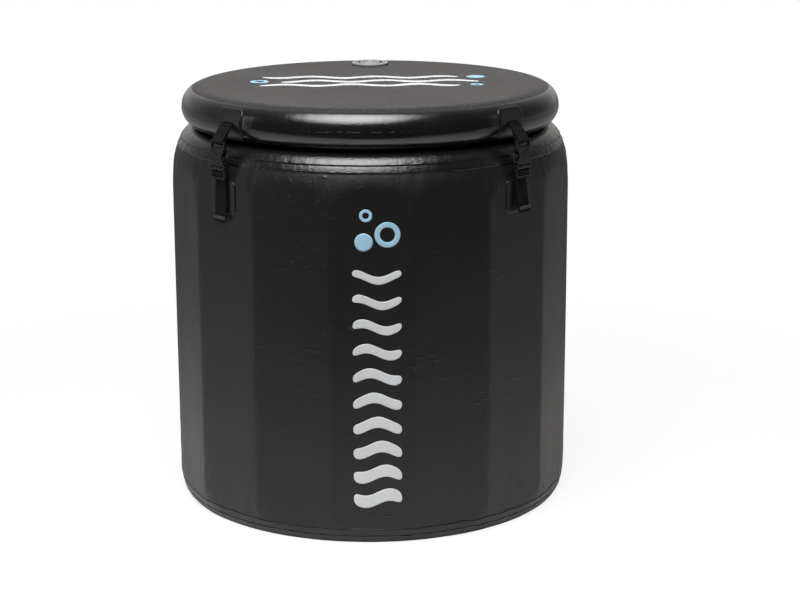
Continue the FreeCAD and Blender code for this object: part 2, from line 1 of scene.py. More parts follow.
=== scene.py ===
import bmesh
import bpy
import math
import numpy as np
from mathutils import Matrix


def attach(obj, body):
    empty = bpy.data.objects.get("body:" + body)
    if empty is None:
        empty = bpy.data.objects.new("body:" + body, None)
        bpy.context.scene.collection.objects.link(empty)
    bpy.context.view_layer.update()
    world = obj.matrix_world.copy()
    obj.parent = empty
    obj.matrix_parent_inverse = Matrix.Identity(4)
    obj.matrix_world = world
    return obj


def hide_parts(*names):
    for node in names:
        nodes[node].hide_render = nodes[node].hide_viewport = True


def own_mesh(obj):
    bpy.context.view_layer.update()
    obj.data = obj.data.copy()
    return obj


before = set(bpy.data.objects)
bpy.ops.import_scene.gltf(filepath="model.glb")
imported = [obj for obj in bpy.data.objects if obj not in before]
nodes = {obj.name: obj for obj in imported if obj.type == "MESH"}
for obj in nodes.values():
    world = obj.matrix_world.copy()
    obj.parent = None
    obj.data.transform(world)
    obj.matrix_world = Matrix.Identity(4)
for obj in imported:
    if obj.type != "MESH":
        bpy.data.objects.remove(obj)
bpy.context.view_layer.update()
print("frame:", len(nodes), "nodes")

tau = 2 * math.pi
mm = 0.001


# shader maths

class Wire:
    # a value in a node tree; an expression on values adds its Math nodes
    def __init__(self, finish, socket):
        self.finish = finish
        self.socket = socket

    def maths(self, operation, *values):
        return self.finish.node("ShaderNodeMath", {"operation": operation}, dict(enumerate(values)))

    def __add__(self, other):
        return self.maths("ADD", self, other)

    def __sub__(self, other):
        return self.maths("SUBTRACT", self, other)

    def __rsub__(self, other):
        return self.maths("SUBTRACT", other, self)

    def __mul__(self, other):
        return self.maths("MULTIPLY", self, other)

    def __pow__(self, other):
        return self.maths("POWER", self, other)

    __radd__ = __add__
    __rmul__ = __mul__

    def sine(self):
        return self.maths("SINE", self)

    def size(self):
        return self.maths("ABSOLUTE", self)

    def above(self, level):
        return self.maths("GREATER_THAN", self, level)

    def atLeast(self, level):
        return self.maths("MAXIMUM", self, level)


class Finish:
    # a material's node tree, or that of a lamp or the world
    def __init__(self, name, owner=None, shader="Principled BSDF"):
        self.material = owner or bpy.data.materials.new(name)
        self.material.use_nodes = True
        self.tree = self.material.node_tree
        self.shader = self.tree.nodes[shader]

    def node(self, kind, settings=None, inputs=None, output=0):
        # one node: its settings first, then the values or links of its sockets
        made = self.tree.nodes.new(kind)
        for key, value in (settings or {}).items():
            setattr(made, key, value)
        for key, value in (inputs or {}).items():
            self.feed(made.inputs[key], value)
        return Wire(self, made.outputs[output])

    def feed(self, socket, value):
        if isinstance(value, Wire):
            self.tree.links.new(value.socket, socket)
        else:
            socket.default_value = value

    def surface(self, **values):
        # the main shader's sockets, with _ for a space
        for key, value in values.items():
            self.feed(self.shader.inputs[key.replace("_", " ")], value)
        return self.material

    def place(self):
        return self.node("ShaderNodeTexCoord", output="Object")

    def cloth(self):
        # the piece's own UV map, in metres along and across
        return self.node("ShaderNodeUVMap", {"uv_map": "cloth"})

    def split(self, vector):
        parts = self.node("ShaderNodeSeparateXYZ", inputs={0: vector})
        return [Wire(self, out) for out in parts.socket.node.outputs]

    def noise(self, vector, scale, detail=3.0, rough=0.5):
        return self.node("ShaderNodeTexNoise", inputs={"Vector": vector, "Scale": scale, "Detail": detail,
                                                       "Roughness": rough})

    def strokes(self, across, along):
        # short brushed strokes, fine across and long along
        vector = self.node("ShaderNodeCombineXYZ", inputs={0: across * 330.0, 1: along * 70.0})
        return self.noise(vector, 1.0, 2.0)

    def stretched(self, vector, scale):
        return self.node("ShaderNodeMapping", inputs={"Vector": vector, "Scale": scale})

    def mixed(self, factor, first, second):
        return self.node("ShaderNodeMix", {"data_type": "RGBA"}, {0: factor, 6: first, 7: second}, output=2)

    def bump(self, height, distance, strength):
        return self.node("ShaderNodeBump",
                         inputs={"Height": height, "Distance": distance, "Strength": strength})

    def eased(self, value, low, high, top=1.0):
        # 0 below low, top above high, with a smooth step between them
        return self.node("ShaderNodeMapRange", {"interpolation_type": "SMOOTHSTEP"},
                         {"Value": value, "From Min": low, "From Max": high, "To Min": 0.0, "To Max": top})


def grey(level, blue=1.0):
    # a grey, with its blue raised a little where asked
    return (level, level, level * blue, 1.0)


def warm(level):
    # a slightly warm grey
    return (level, level * 0.972, level * 0.948, 1.0)


# meshes

def gridPart(points, along, across, closeRows=False, closeCols=False, flip=False):
    # quads over a grid of points; along runs with the columns and across with the rows, for the UV map
    rows, cols = points.shape[:2]
    i, j = np.meshgrid(np.arange(rows - (not closeRows)), np.arange(cols - (not closeCols)), indexing="ij")
    atRow = np.stack([i, i, i + 1, i + 1], -1).reshape(-1, 4)
    atCol = np.stack([j, j + 1, j + 1, j], -1).reshape(-1, 4)
    if flip:
        atRow = atRow[:, ::-1]
        atCol = atCol[:, ::-1]
    uv = np.stack([along[atCol], across[atRow]], -1)
    return points.reshape(-1, 3), (atRow % rows) * cols + atCol % cols, uv


def stripCap(cols, row, flip):
    # closes the end of a flat tube whose ring runs over the front and back again
    k = np.arange(cols // 2 - 1)
    faces = np.stack([k, k + 1, cols - 2 - k, cols - 1 - k], -1) + row * cols
    return faces[:, ::-1] if flip else faces


def piece(name, parts, material, body, replaced=(), weld=False):
    counts = np.cumsum([0] + [len(part[0]) for part in parts])
    points = np.concatenate([part[0] for part in parts])
    faces = np.concatenate([part[1] + start for part, start in zip(parts, counts)])
    uv = np.concatenate([part[2] for part in parts])
    mesh = bpy.data.meshes.new(name)
    mesh.from_pydata(points.tolist(), [], faces.tolist())
    mesh.uv_layers.new(name="cloth").data.foreach_set("uv", uv.astype(np.float32).ravel())
    if weld:
        work = bmesh.new()
        work.from_mesh(mesh)
        bmesh.ops.remove_doubles(work, verts=work.verts, dist=1e-6)
        bmesh.ops.dissolve_degenerate(work, edges=work.edges, dist=1e-7)
        work.to_mesh(mesh)
        work.free()
    mesh.polygons.foreach_set("use_smooth", np.ones(len(mesh.polygons), bool))
    mesh.materials.append(material)
    made = bpy.data.objects.new(name, mesh)
    bpy.context.scene.collection.objects.link(made)
    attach(made, body)
    if replaced:
        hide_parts(*replaced)
    return made


def thicken(made, thickness):
    # the sheet as made is the outer face
    solid = made.modifiers.new("thickness", "SOLIDIFY")
    solid.thickness = thickness
    solid.offset = -1.0


def turnedAbout(points, degrees):
    # turns points about the tub's axis
    c = math.cos(math.radians(degrees))
    s = math.sin(math.radians(degrees))
    return points @ np.array([[c, s, 0], [-s, c, 0], [0, 0, 1]])


def aroundAxis(radius, height, theta):
    # radius and height over a grid, carried round the axis
    height = np.broadcast_to(height, radius.shape)
    return np.stack([radius * np.cos(theta), radius * np.sin(theta), height], -1)


def fullTurn(theta):
    # the angles with the first one again, a turn further on, to close the UV map
    return np.append(theta, theta[0] + tau)


def runLength(r, z):
    # the length run along a profile up to each point: the sum of its chords
    return np.concatenate([[0], np.cumsum(np.hypot(np.diff(r), np.diff(z)))])


def swell(theta, s, seed, waves, ks, ms):
    # a sum of plane waves that closes round the tub: cos(k theta + m s + phase), k whole
    rng = np.random.default_rng(seed)
    total = 0
    for k, m, phase in zip(rng.integers(*ks, waves), rng.uniform(*ms, waves), rng.uniform(0, tau, waves)):
        total = total + np.cos(k * theta + m * s + phase)
    return total / math.sqrt(waves)


def bell(x, centre, width):
    # 1 at the centre, falling off as exp(-(distance / width) squared)
    return np.exp(-((x - centre) / width) ** 2)


# tub wall

tub = {
    "panels": 16,
    "flat": 393 * mm,
    "inner": 303 * mm,
    "round": 393 * mm / math.cos(math.pi / 16) + 0.5 * mm,
    "innerRound": 300 * mm,
    "top": 747.6 * mm,
    "shoulder": 118 * mm,
    "crest": 8 * mm,
    "foot": 78 * mm,
    "footSweep": math.radians(75),
    "toe": 383 * mm,
    "inside": 325 * mm,
    "softness": 2.2 * mm,
    "pucker": 0.55 * mm,
}
tub["base"] = tub["top"] - tub["shoulder"]
tub["outRim"] = tub["flat"] - (tub["flat"] - tub["inner"] - tub["crest"]) / 2
tub["inRim"] = tub["inner"] + (tub["flat"] - tub["inner"] - tub["crest"]) / 2
tub["footWide"] = (tub["round"] - tub["toe"]) / (1 - math.cos(tub["footSweep"]))
tub["footDeep"] = tub["foot"] / math.sin(tub["footSweep"])

# the air valves and the drain: places on the panels, radii of holes, and the radii and heights of the painted
# shade rings round the valve caps
fittings = {
    "lidValve": (0.0, 280 * mm, 830.3 * mm),
    "wallValve": (0.0, tub["flat"], 560 * mm),
    "drain": (0.0, tub["flat"], 115 * mm),
    "lidHole": 30 * mm,
    "wallHole": 31 * mm,
    "drainHole": 21.5 * mm,
    "dishEdge": 21.9 * mm,
    "grooveEdge": 31 * mm,
    "shadeFloor": 0.5 * mm,
    "shadeTop": 3.9 * mm,
}


def prismReach(theta, flat):
    # distance from the axis to the flat panels: flat / cos(angle from the panel's middle)
    step = tau / tub["panels"]
    return flat / np.cos((theta + step / 2) % step - step / 2)


def softMin(a, b, k):
    # a minimum rounded over k: half of the sum less the root of (difference squared + k squared)
    return (a + b - np.sqrt((a - b) ** 2 + k * k)) / 2


def softMax(a, b, k):
    # the same for a maximum, with the root added
    return (a + b + np.sqrt((a - b) ** 2 + k * k)) / 2


# height and reach of the gathers
gathers = {"underRim": (694 * mm, 26 * mm), "overBase": (46 * mm, 16 * mm), "slanted": (85 * mm, 60 * mm),
           "dashes": (691 * mm, 25 * mm), "dashPitch": 26 * mm}


def puckers(theta, z):
    # shallow gathers under the rim tape and over the base tape, and a slow swell over the panels
    top = bell(z, *gathers["underRim"]) * swell(theta, z, 3, 26, (60, 150), (-60, 60))
    low = bell(z, *gathers["overBase"]) * swell(theta, z, 4, 22, (50, 130), (-70, 70))
    slow = 0.45 * swell(theta, z, 5, 12, (6, 30), (-9, 9))
    slant = bell(z, *gathers["slanted"]) * swell(theta, z, 6, 30, (40, 120), (-150, -50))
    return tub["pucker"] * (top + 0.7 * low + slow + 0.5 * slant)


def turnedSide(z):
    # the turned form's outer radius at a height: foot ellipse, straight side, shoulder ellipse
    low = np.clip((tub["foot"] - z) / tub["footDeep"], 0, 1)
    high = np.clip((z - tub["base"]) / tub["shoulder"], 0, 1)
    foot = tub["round"] - tub["footWide"] * (1 - np.sqrt(1 - low ** 2))
    rim = tub["outRim"] + (tub["round"] - tub["outRim"]) * np.sqrt(1 - high ** 2)
    return np.where(z < tub["foot"], foot, np.where(z > tub["base"], rim, tub["round"]))


def wallSide(theta, z, lift=0.0):
    # the dressed wall's outer radius, with the panels fading into the round shoulder and foot
    return softMin(turnedSide(z), prismReach(theta, tub["flat"]), tub["softness"]) + puckers(theta, z) + lift


def columnAngles(perPanel):
    # columns crowd towards the creases: a panel's middle is at whole steps
    t = np.linspace(-1, 1, perPanel, endpoint=False)
    bent = 0.62 * t + 0.38 * np.sin(t * math.pi / 2)
    step = tau / tub["panels"]
    return (np.arange(tub["panels"])[:, None] * step + bent * step / 2).ravel() - math.pi / 2


def makeWall():
    # profile: up the outer foot and side, over the shoulder and crest, down the inner side, back under
    theta = columnAngles(20)
    a = np.linspace(-tub["footSweep"], 0, 26)
    foot = [tub["round"] - tub["footWide"] * (1 - np.cos(a)), tub["foot"] + tub["footDeep"] * np.sin(a)]
    side = np.linspace(tub["foot"], tub["base"], 66)[1:-1]
    b = np.linspace(0, math.pi / 2, 44)
    rim = [tub["outRim"] + (tub["round"] - tub["outRim"]) * np.cos(b),
           tub["base"] + tub["shoulder"] * np.sin(b)]
    c = np.linspace(math.pi / 2, math.pi, 24)
    inRim = [tub["inRim"] + (tub["inRim"] - tub["innerRound"]) * np.cos(c),
             tub["base"] + tub["shoulder"] * np.sin(c)]
    inSide = np.linspace(tub["base"], 0, 26)[1:]
    under = np.linspace(tub["innerRound"], tub["toe"], 8)[1:-1]
    r = np.concatenate([foot[0], np.full(len(side), tub["round"]), rim[0], inRim[0],
                        np.full(len(inSide), tub["innerRound"]), under])
    z = np.concatenate([foot[1], side, rim[1], inRim[1], inSide, np.zeros(len(under))])
    outer = len(foot[0]) + len(side) + len(rim[0])
    inner = outer + len(inRim[0]) + len(inSide)
    grid = np.repeat(r[:, None], len(theta), 1)
    out = softMin(grid, prismReach(theta, tub["flat"])[None], tub["softness"])
    out = out + puckers(theta[None], z[:, None])
    within = softMax(grid, prismReach(theta, tub["inner"])[None], tub["softness"])
    fade = np.ones(len(r))
    fade[outer - len(b):outer] = np.cos(b) ** 0.5
    out = grid * (1 - fade[:, None]) + out * fade[:, None]
    row = np.arange(len(r))[:, None]
    radius = np.where(row < outer, out, np.where(row < inner, within, grid))
    points = aroundAxis(radius, z[:, None], theta[None])
    length = runLength(r, z)
    across = np.append(length, length[-1] + 20 * mm)
    part = gridPart(points, fullTurn(theta) * tub["flat"], across, True, True)
    # the air valve passes the outer skin alone, the drain both
    part = dropFaces(part, fittings["wallValve"], fittings["wallHole"], 1, (tub["inner"] + tub["flat"]) / 2)
    return dropFaces(part, fittings["drain"], fittings["drainHole"], 1, 0.0)


def dropFaces(part, place, hole, axis, nearest):
    # leaves out the quads that a fitting's flange covers, beyond a nearest place along the fitting's axis
    points, faces, uv = part
    middle = points[faces].mean(1)
    away = np.hypot(*np.delete(middle - place, axis, 1).T)
    keep = (middle[:, axis] < nearest) | (away > hole)
    return points, faces[keep], uv[keep]


tapes = {"lift": 1.2 * mm, "thick": 0.9 * mm, "wobble": 0.3 * mm, "ragged": 1.1 * mm, "edge": 4 * mm,
         "baseLift": 0.55 * mm, "baseThick": 0.5 * mm, "baseEdge": 3.5 * mm}


def wallBand(high, rows, lift, wobble, seed):
    # a tape round the foot: the wall's side from the ground up to a height, lifted
    theta = columnAngles(24)
    z = np.linspace(0.0, high, rows)[:, None]
    edge = bell(z, high, tapes["baseEdge"])
    wave = swell(theta[None], z, seed, 24, (40, 170), (-90, 90))
    radius = wallSide(theta[None], z, lift) + wobble * (0.5 + edge) * wave
    ragged = z + edge * tapes["ragged"] * swell(theta[None], 0 * z, seed + 1, 14, (9, 70), (0, 1))
    points = aroundAxis(radius, ragged, theta[None])
    return gridPart(points, fullTurn(theta) * tub["flat"], z.ravel(), False, True)


def rimBand(drop, lift, rows, wobble, seed):
    # a tape over the rim: from the outer shoulder over the crest to the inner one, lifted off the panel
    theta = np.linspace(0, tau, 480, endpoint=False)
    start = math.asin((tub["shoulder"] - drop) / tub["shoulder"])
    a = np.linspace(start, math.pi / 2, rows)
    b = np.linspace(math.pi / 2, math.pi - start, rows // 2)
    tall = tub["shoulder"] + lift
    r = np.concatenate([tub["outRim"] + (tub["round"] - tub["outRim"] + lift) * np.cos(a),
                        tub["inRim"] + (tub["inRim"] - tub["innerRound"] + lift) * np.cos(b)])
    z = np.concatenate([tub["base"] + tall * np.sin(a), tub["base"] + tall * np.sin(b)])
    s = runLength(r, z)
    edge = bell(s, 0, tapes["edge"]) + bell(s, s[-1], tapes["edge"])
    wave = swell(theta[None], s[:, None], seed, 30, (50, 210), (-120, 120))
    low = 0.7 * wobble * (0.55 + 0.8 * edge)[:, None] * (wave - 0.6)
    frayed = swell(theta[None], 0 * s[:, None], seed + 1, 16, (12, 90), (0, 1))
    ragged = edge[:, None] * tapes["ragged"] / 2 * frayed
    points = aroundAxis(r[:, None] + low, z[:, None] + low + ragged, theta[None])
    return gridPart(points, fullTurn(theta) * tub["flat"], s, False, True)


# webbing sizes

web = {
    "width": 30 * mm,
    "thick": 1.5 * mm,
    "seat": 0.25 * mm,
    "reach": 403 * mm,
    "barHeight": 759.9 * mm,
    "barRadius": 2.7 * mm,
    "ladder": 7 * mm,
    "upper": 704.6 * mm,
    "lower": 696.0 * mm,
    "plugLow": 689.6 * mm,
    "anchor": 634 * mm,
    "anchorTop": 655 * mm,
    "overlap": 8 * mm,
    "topAngle": math.asin(0.1),
    "sweep": 40 * mm,
    "bend": 1.7 * mm,
    "hem": 13 * mm,
    "hemBend": 1.05 * mm,
    "hemLow": 1.2 * mm,
    "hemDeep": 2.2 * mm,
    "hemOpen": 0.2 * mm,
    "seal": 6 * mm,
    "step": 4 * mm,
    "swayRun": 90 * mm,
    "warp": 2.6 * mm,
    "pick": 2.1 * mm,
    "zigzag": 0.45 * mm,
    "tails": {"front_left": (606 * mm, -1.5 * mm, 3 * mm), "front_right": (623 * mm, 3.5 * mm, 9 * mm),
              "rear_right": (612 * mm, 2 * mm, 4 * mm), "rear_left": (618 * mm, -2 * mm, 5 * mm)},
}


# finishes

def blackShell(name, lidTop=False):
    # satin coated PVC over drop stitch: faint crossed strokes, small scattered wrinkles and a fine grain
    f = Finish(name)
    u, v = f.split(f.cloth())[:2]
    place = f.place()
    steep = v * 0.62
    weave = f.strokes(u + steep, u - steep) + f.strokes(u - steep, u + steep)
    patches = f.noise(place, 5.5)
    grain = f.noise(place, 900.0, 2.0)
    wrinkles = f.noise(f.stretched(f.cloth(), (1.0, 1.7, 1.0)), 62.0, 2.0, 0.45)
    crumpled = f.noise(place, 9.0, 2.0)
    pressed = (wrinkles - 0.53).atLeast(0.0)
    marks = pressed * pressed * (crumpled - 0.32).atLeast(0.0) * 115.0
    scuffs = f.noise(f.stretched(place, (2.2, 2.2, 0.7)), 160.0, 4.0, 0.6)
    scuffed = (scuffs - 0.66).above(0.0) * patches
    height = weave * 0.55 + marks * 1.6 + grain * 0.16
    colour = f.mixed(patches, grey(0.0045, 1.04), grey(0.0070, 1.02))
    colour = f.mixed(scuffed * 0.3, colour, grey(0.035))
    if lidTop:
        normal = f.bump(height + f.noise(place, 105.0, 1.0) * 2.6, 0.26 * mm, 0.75)
        flecks = f.noise(f.stretched(place, (1.0, 0.45, 1.0)), 210.0, 1.0)
        colour = f.mixed(((flecks - 0.5) * 4.0).atLeast(0.0), colour, grey(0.030))
    else:
        # slow creases, and short slanted gathers under the rim tape
        x, y, z = f.split(place)
        creases = f.noise(f.stretched(place, (1.0, 1.0, 0.5)), 30.0, 4.0)
        drift = f.noise(place, 14.0, 2.0) * 14.0
        dash = (((u + z * 0.55) * (tau / gathers["dashPitch"]) + drift).sine() - 0.55).atLeast(0.0)
        middle, reach = gathers["dashes"]
        band = (1 - ((z - middle) * (1 / reach)).size()).atLeast(0.0)
        dash = dash * band * (f.noise(place, 42.0, 2.0) - 0.4).atLeast(0.0)
        normal = f.bump(height + creases * 0.9 + dash * 26.0, 0.3 * mm, 0.75)
        # the inside is a little greyer
        within = f.mixed(patches, grey(0.018), grey(0.028))
        colour = f.mixed((x * x + y * y).above(tub["inside"] ** 2), within, colour)
    rough = 0.36 + patches * 0.12 + grain * 0.06 + scuffed * 0.15
    return f.surface(Base_Color=colour, Roughness=rough, Normal=normal, Specular_IOR_Level=0.42)


def blackTape(name, crinkled, dull, shine):
    # glossier welded tape, crinkled by the seam
    f = Finish(name)
    place = f.place()
    crinkle = f.noise(f.stretched(f.cloth(), (1.0, 2.4, 1.0)), 95.0, 5.0, 0.6)
    folds = f.noise(f.stretched(f.cloth(), (1.0, 0.22, 1.0)), 60.0, 3.0, 0.55)
    grain = f.noise(place, 700.0, 2.0)
    cloudy = f.noise(place, 18.0)
    height = crinkle * 0.8 + folds + grain * 0.08
    colour = f.mixed(cloudy, grey(0.0045, 1.04), grey(0.008))
    rough = dull + cloudy * 0.14 + crinkle * 0.05
    return f.surface(Base_Color=colour, Roughness=rough, Normal=f.bump(height, crinkled, 0.55),
                     Specular_IOR_Level=shine)


def wovenStrap():
    # flat polypropylene webbing: columns of chevron picks along the length
    f = Finish("strapWeave")
    u, v = f.split(f.cloth())[:2]
    warp = (u * (tau / web["warp"])).sine()
    picks = ((v + warp * web["zigzag"]) * (tau / web["pick"])).sine()
    fuzz = f.noise(f.place(), 1400.0, 3.0, 0.6)
    fade = f.noise(f.place(), 60.0)
    height = warp.size() * 0.7 + picks * 0.5 + fuzz * 0.35
    colour = f.mixed(fade, grey(0.003), grey(0.006, 1.03))
    colour = f.mixed(fuzz.above(0.62) * 0.5, colour, grey(0.012))
    # v is 0 at a tail's end; the heat-cut hem there is paler, and its mottled pale colour is partly a painted
    # glint
    sealed = (v + web["seal"]).above(0.0)
    colour = f.mixed(sealed * ((fuzz - 0.36) * 2.6).atLeast(0.0), colour, grey(0.2))
    rough = 0.66 + picks * 0.06 + fuzz * 0.15
    return f.surface(Base_Color=colour, Roughness=rough, Normal=f.bump(height, 0.35 * mm, 0.8),
                     Specular_IOR_Level=0.14)


def recessShadeMask(across, along, height):
    # painted shade in the dish round an air valve's cap and the groove round that, as a mask between two
    # radii and two heights
    radius = (across * across + along * along) ** 0.5
    ring = radius.above(fittings["dishEdge"]) * (1 - radius.above(fittings["grooveEdge"]))
    return ring * height.above(fittings["shadeFloor"]) * (1 - height.above(fittings["shadeTop"]))


def lidRecessShade(x, y, z):
    # the painted shade mask along the lid valve's axis, which points up
    place = fittings["lidValve"]
    return recessShadeMask(x, y - place[1], z - place[2])


def wallRecessShade(x, y, z):
    # the painted shade mask along the wall valve's axis, which points out at the back
    place = fittings["wallValve"]
    return recessShadeMask(x, z - place[2], y - place[1])


def mouldedPlastic(name, low, high, rough, blue=1.0, worn=0.0, shine=0.5, paintedShade=None):
    # moulded plastic: spark-eroded grain, cloudy gloss, a little rubbing on it, and painted shade in the
    # valve recesses where given
    f = Finish(name)
    place = f.place()
    cloudy = f.noise(place, 45.0)
    grain = f.noise(place, 1600.0, 2.0)
    rub = f.noise(f.stretched(place, (1.0, 1.0, 3.0)), 240.0, 4.0, 0.6)
    rubbed = (rub - 0.6).above(0.0) * worn
    colour = f.mixed(cloudy, grey(low, blue), grey(high, blue))
    colour = f.mixed(rubbed, colour, grey(high * 2.0 + 0.01, blue))
    if paintedShade:
        # painted shade: the dish and groove round an air valve's cap are darkened in the colour
        colour = f.mixed(paintedShade(*f.split(place)) * 0.92, colour, grey(0.012))
    gloss = rough + cloudy * 0.1 + grain * 0.08
    return f.surface(Base_Color=colour, Roughness=gloss, Normal=f.bump(grain + rub * 0.4, 0.06 * mm, 0.6),
                     Specular_IOR_Level=shine)


def rubberSeal():
    # matt black rubber, a little dusty
    f = Finish("sealRubber")
    dust = f.noise(f.place(), 300.0, 4.0)
    return f.surface(Base_Color=f.mixed(dust, grey(0.012), grey(0.024)), Roughness=0.72 + dust * 0.15,
                     Normal=f.bump(dust, 0.1 * mm, 0.5))


def drawnSteel():
    # bright drawn wire with fine streaks
    f = Finish("springSteel")
    streak = f.noise(f.stretched(f.place(), (1.0, 1.0, 9.0)), 500.0)
    return f.surface(Base_Color=f.mixed(streak, grey(0.42, 1.02), grey(0.6, 1.02)), Metallic=1.0,
                     Roughness=0.24 + streak * 0.18, Normal=f.bump(streak, 0.02 * mm, 0.5))


def printInk(name, low, high):
    # screen-printed ink: thin, a little worn on the dimples
    f = Finish(name)
    place = f.place()
    worn = f.noise(place, 420.0, 4.0, 0.65)
    cloudy = f.noise(place, 30.0)
    colour = f.mixed(cloudy, low, high)
    colour = f.mixed((worn - 0.68).above(0.0) * 0.45, colour, grey(0.09))
    return f.surface(Base_Color=colour, Roughness=0.5 + cloudy * 0.12, Normal=f.bump(worn, 0.08 * mm, 0.5),
                     Specular_IOR_Level=0.35)


shellFinish = blackShell("wallShell")
lidFinish = blackShell("lidShell", True)
tapeFinish = blackTape("weldedTape", 1.5 * mm, 0.13, 0.66)
lidTapeFinish = blackTape("lidTape", 0.4 * mm, 0.10, 0.70)
patchFinish = blackTape("strapPatch", 0.6 * mm, 0.26, 0.46)
baseTapeFinish = blackTape("baseTape", 0.9 * mm, 0.30, 0.46)
strapFinish = wovenStrap()
threadFinish = mouldedPlastic("seamThread", 0.012, 0.024, 0.55)
buckleFinish = mouldedPlastic("buckleAcetal", 0.004, 0.008, 0.24, 1.03, 0.15, 0.36)
lidValveFinish = mouldedPlastic("lidValvePlastic", 0.27, 0.34, 0.34, 1.01, paintedShade=lidRecessShade)
wallValveFinish = mouldedPlastic("wallValvePlastic", 0.27, 0.34, 0.34, 1.01, paintedShade=wallRecessShade)
drainFinish = mouldedPlastic("drainNylon", 0.028, 0.042, 0.36, 1.02, 0.2)
ballFinish = mouldedPlastic("drainBallAcetal", 0.45, 0.55, 0.25)
sealFinish = rubberSeal()
steelFinish = drawnSteel()
greyInk = printInk("paleGreyInk", (0.60, 0.62, 0.64, 1.0), (0.68, 0.70, 0.72, 1.0))
blueInk = printInk("paleBlueInk", (0.33, 0.56, 0.72, 1.0), (0.39, 0.63, 0.78, 1.0))
print("finishes:", len(bpy.data.materials))

piece("wallShell", [makeWall()], shellFinish, "tub", ["tub_wall"])

for name, drop, layer, rows, seed, node in (
        ("rimTape", 33 * mm, 1, 20, 11, "rim_tape"),
        ("rimCoverTape", 20 * mm, 2, 16, 13, "rim_cover_tape")):
    band = rimBand(drop, layer * tapes["lift"], rows, tapes["wobble"], seed)
    thicken(piece(name, [band], tapeFinish, "tub", [node]), tapes["thick"])
for name, high, layer, rows, share, seed, node in (
        ("baseTape", 29 * mm, 1.0, 12, 0.5, 15, "base_tape"),
        ("baseCoverTape", 15 * mm, 2.4, 9, 1.0, 17, "base_cover_tape")):
    band = wallBand(high, rows, layer * tapes["baseLift"], share * tapes["wobble"], seed)
    thicken(piece(name, [band], baseTapeFinish, "tub", [node]), tapes["baseThick"])
print("wall and its tapes made")


# tub floor

floorPanel = {"flat": 302.7 * mm, "thick": 55 * mm, "edge": 9 * mm}
floorTape = {"leg": 24 * mm, "lift": 0.9 * mm, "glue": 0.3 * mm, "fillet": 3 * mm, "riser": 4.5 * mm,
             "thick": 0.8 * mm}


def makeFloor():
    # a flat many-sided pad: its profile runs from the middle on top over a rounded edge to the middle below
    theta = columnAngles(10)
    a = np.linspace(math.pi / 2, 0, 7)
    flat = floorPanel["flat"]
    thick = floorPanel["thick"]
    edge = floorPanel["edge"]
    level = np.linspace(flat, edge, 26)[:-1]
    inset = np.concatenate([level, edge - edge * np.cos(a), [0.0, flat]])
    z = np.concatenate([np.full(len(level), thick), thick - edge + edge * np.sin(a), [0.0, 0.0]])
    radius = (flat - inset)[:, None] / flat * prismReach(theta, flat)[None]
    points = aroundAxis(radius, z[:, None], theta[None])
    return gridPart(points, fullTurn(theta) * flat, runLength(-inset, z), False, True, True)


def makeFloorTape():
    # an angle tape in the corner of floor and wall: along the floor, then up the wall
    theta = columnAngles(10)
    near = floorPanel["flat"]
    leg = floorTape["leg"]
    lift = floorTape["lift"]
    fillet = floorTape["fillet"]
    turn = np.linspace(0.2, 1.5, 5)
    r = near + np.concatenate([np.linspace(-leg, -fillet, 8), fillet * np.sin(turn) - fillet, np.zeros(8)])
    z = np.concatenate([np.full(8, lift), lift + fillet - fillet * np.cos(turn),
                        np.linspace(floorTape["riser"], leg, 8)])
    z = z + floorPanel["thick"] + floorTape["glue"]
    radius = r[:, None] / near * prismReach(theta, near - lift)[None]
    points = aroundAxis(radius, z[:, None], theta[None])
    return gridPart(points, fullTurn(theta) * near, runLength(r, z), False, True, True)


piece("floorPad", [makeFloor()], shellFinish, "tub", ["tub_floor"], True)
thicken(piece("floorSeamTape", [makeFloorTape()], tapeFinish, "tub", ["floor_seam_tape"]),
        floorTape["thick"])
print("floor made")


# lid

lid = {
    "radius": 375.9 * mm,
    "nose": 40 * mm,
    "rimTape": 0.6 * mm,
    "coverTape": 1.1 * mm,
    "press": 0.45 * mm,
    "middle": 790.3 * mm,
    "swell": 0.3 * mm,
    "rimCalm": 50 * mm,
    "valveCalm": 42 * mm,
    "valveFade": 30 * mm,
    "tapeEdge": 3 * mm,
    "nearEdge": 0.2 * mm,
}
lid["flat"] = lid["radius"] - lid["nose"]
lid["top"] = lid["middle"] + lid["nose"]


def lidTopSwell(x, y):
    # the top sheet's slow unevenness, none at the valve or the rim
    r = np.hypot(x, y)
    clear = np.hypot(x, y - fittings["lidValve"][1]) - lid["valveCalm"]
    calm = np.clip((lid["flat"] - r) / lid["rimCalm"], 0, 1) * np.clip(clear / lid["valveFade"], 0, 1)
    return -lid["swell"] * calm * (1.0 + 0.6 * swell(np.arctan2(y, x), 30 * r, 21, 14, (1, 12), (-1.2, 1.2)))


def makeLid():
    # profile from the top's middle out to the round nose and back under to the middle
    theta = np.linspace(0, tau, 320, endpoint=False)
    flat = np.linspace(0, lid["flat"], 58)
    under = flat[::-4]
    tops = len(flat) - 1
    a = np.linspace(math.pi / 2, -math.pi / 2, 56)
    r = np.concatenate([flat[:-1], lid["flat"] + lid["nose"] * np.cos(a), under])
    z = lid["middle"] + lid["nose"] * np.concatenate([np.ones(tops), np.sin(a), -np.ones(len(under))])
    r[-1] = 0.0
    points = aroundAxis(np.repeat(r[:, None], len(theta), 1), z[:, None], theta[None])
    points[:tops, :, 2] += lidTopSwell(points[:tops, :, 0], points[:tops, :, 1])
    part = gridPart(points, fullTurn(theta) * lid["flat"], runLength(r, z), False, True, True)
    # the map is flat on the top and the underside, so that the strokes run straight across
    points, faces, uv = part
    middle = points[faces].mean(1)
    level = np.hypot(middle[:, 0], middle[:, 1]) < lid["flat"] + lid["nose"] / 2
    uv[level] = points[faces[level]][..., :2]
    return dropFaces(part, fittings["lidValve"], fittings["lidHole"], 2, lid["middle"])


